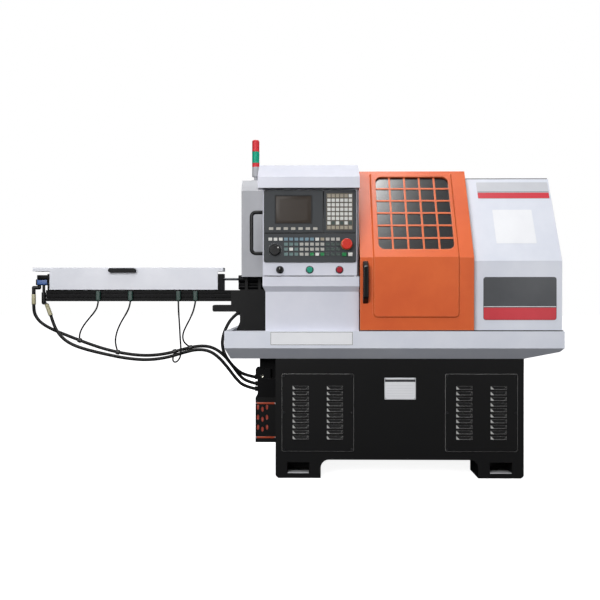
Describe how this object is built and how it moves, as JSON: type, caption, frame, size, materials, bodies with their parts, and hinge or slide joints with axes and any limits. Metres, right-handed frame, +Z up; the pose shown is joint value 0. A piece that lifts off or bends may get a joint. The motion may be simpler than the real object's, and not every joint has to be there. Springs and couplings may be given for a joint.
{
  "type": "cnc turning lathe",
  "caption": "Small enclosed turning lathe on a louvred stand, with an orange sliding door, a swing-out control panel and a bar feeder at its left.",
  "frame": {"origin": "on the floor, in the middle of the four anchor holes of the stand", "axes": "+X to the operator's right along the spindle axis, +Y to the rear, +Z up"},
  "size_m": [2.5525, 1.035, 1.621],
  "materials": {
    "white_paint": "satin sheet paint",
    "grey_paint": "satin sheet paint",
    "orange_paint": "satin sheet paint",
    "black_paint": "fine textured paint",
    "black_anodised": "black anodised",
    "dark_glazing": "tinted safety glazing",
    "black_plastic": "moulded",
    "panel_film": "matt front film",
    "key_plastic": "moulded keys",
    "red_plastic": "gloss",
    "green_plastic": "gloss",
    "white_plastic": "gloss",
    "lens_green": "clear tinted",
    "lens_red": "clear tinted",
    "blue_paint": "gloss enamel",
    "teal_plastic": "moulded",
    "plated_fitting": "plated",
    "steel": "ground",
    "dark_steel": "blacked",
    "casting": "painted casting",
    "motor_paint": "enamel",
    "rubber": "matt",
    "nylon": "natural nylon"
  },
  "bodies": {
    "machine": {"stand": "black_paint", "louvre_panels": "black_paint", "chip_tray": "white_paint", "coolant_tank": "steel", "side_vent_box": "black_paint", "valve_block": "black_plastic", "bed": "casting", "headstock": "casting", "main_motor": "motor_paint", "drive_belt": "rubber", "servo_motor": "motor_paint", "control_housing": "white_paint", "drive_modules": "black_plastic", "spindle_hood": "grey_paint", "work_enclosure": "white_paint", "right_cover": "white_paint", "door_rails": "dark_steel", "light_pole": "grey_paint", "light_green": "lens_green", "light_red": "lens_red", "feeder_beam": "black_anodised", "feeder_trough": "black_paint", "feeder_drive": "blue_paint", "feeder_fittings": "plated_fitting", "feeder_post": "black_paint", "guide_tubes": "dark_steel", "beam_sensors": "teal_plastic", "hose_ties": "black_plastic", "air_hose_left": "rubber", "air_hose_right": "rubber", "air_hose_post": "rubber", "sensor_cable_1": "rubber", "sensor_cable_2": "rubber", "sensor_cable_3": "rubber", "sensor_cable_4": "rubber"},
    "door": {"sliding_door": "orange_paint", "door_window": "dark_glazing", "door_handle": "black_plastic", "door_glides": "nylon"},
    "panel": {"panel_door": "white_paint", "cnc_unit": "panel_film", "panel_keys": "key_plastic", "panel_handle": "black_plastic"},
    "knob": {"override_knob": "black_plastic"},
    "estop": {"estop_button": "red_plastic"},
    "cycle_key": {"cycle_start_key": "green_plastic"},
    "hold_key": {"feed_hold_key": "white_plastic"},
    "key": {"key_switch": "black_plastic"},
    "start": {"start_button": "green_plastic"},
    "stop": {"stop_button": "red_plastic"},
    "spindle": {"spindle": "steel", "collet_chuck": "steel", "spindle_pulley": "dark_steel"},
    "motor_rotor": {"motor_pulley": "dark_steel"},
    "carriage": {"carriage": "casting"},
    "cross": {"cross_slide": "steel", "gang_tools": "steel"},
    "pusher": {"push_rod": "steel"},
    "lid": {"feeder_lid": "white_paint", "lid_handle": "black_plastic"}
  },
  "joints": [
    {"name": "door_slide", "type": "slide", "parent": "machine", "child": "door", "axis": [1, 0, 0], "range_m": [0, 0.4]},
    {"name": "panel_swing", "type": "hinge", "parent": "machine", "child": "panel", "pos_m": [-0.21, -0.485, 1.145], "axis": [0, 0, 1], "range_deg": [0, 85]},
    {"name": "override_turn", "type": "hinge", "parent": "panel", "child": "knob", "pos_m": [-0.5795, -0.503, 1.0645], "axis": [0, -1, 0], "range_deg": [-130, 130]},
    {"name": "estop_press", "type": "slide", "parent": "panel", "child": "estop", "axis": [0, 1, 0], "range_m": [0, 0.006], "stiffness_N_per_m": 400},
    {"name": "cycle_press", "type": "slide", "parent": "panel", "child": "cycle_key", "axis": [0, 1, 0], "range_m": [0, 0.003], "stiffness_N_per_m": 400},
    {"name": "hold_press", "type": "slide", "parent": "panel", "child": "hold_key", "axis": [0, 1, 0], "range_m": [0, 0.003], "stiffness_N_per_m": 400},
    {"name": "key_turn", "type": "hinge", "parent": "panel", "child": "key", "pos_m": [-0.557, -0.495, 0.974], "axis": [0, -1, 0], "range_deg": [-90, 0]},
    {"name": "start_press", "type": "slide", "parent": "panel", "child": "start", "axis": [0, 1, 0], "range_m": [0, 0.004], "stiffness_N_per_m": 400},
    {"name": "stop_press", "type": "slide", "parent": "panel", "child": "stop", "axis": [0, 1, 0], "range_m": [0, 0.004], "stiffness_N_per_m": 400},
    {"name": "spindle_spin", "type": "hinge", "parent": "machine", "child": "spindle", "pos_m": [-0.4, -0.196, 0.936], "axis": [1, 0, 0], "continuous": true},
    {"name": "motor_spin", "type": "hinge", "parent": "machine", "child": "motor_rotor", "pos_m": [-0.59, 0.14, 0.85], "axis": [1, 0, 0], "continuous": true},
    {"name": "carriage_slide", "type": "slide", "parent": "machine", "child": "carriage", "axis": [1, 0, 0], "range_m": [-0.08, 0.1]},
    {"name": "cross_feed", "type": "slide", "parent": "carriage", "child": "cross", "axis": [0, 1, 0], "range_m": [-0.06, 0.06]},
    {"name": "push_feed", "type": "slide", "parent": "machine", "child": "pusher", "axis": [1, 0, 0], "range_m": [0, 0.55]},
    {"name": "lid_lift", "type": "hinge", "parent": "machine", "child": "lid", "pos_m": [-1.287, -0.144, 0.964], "axis": [-1, 0, 0], "range_deg": [0, 80]}
  ],
  "couplings": [
    {"joint": "motor_spin", "follows": "spindle_spin", "ratio": 1.3478}
  ]
}
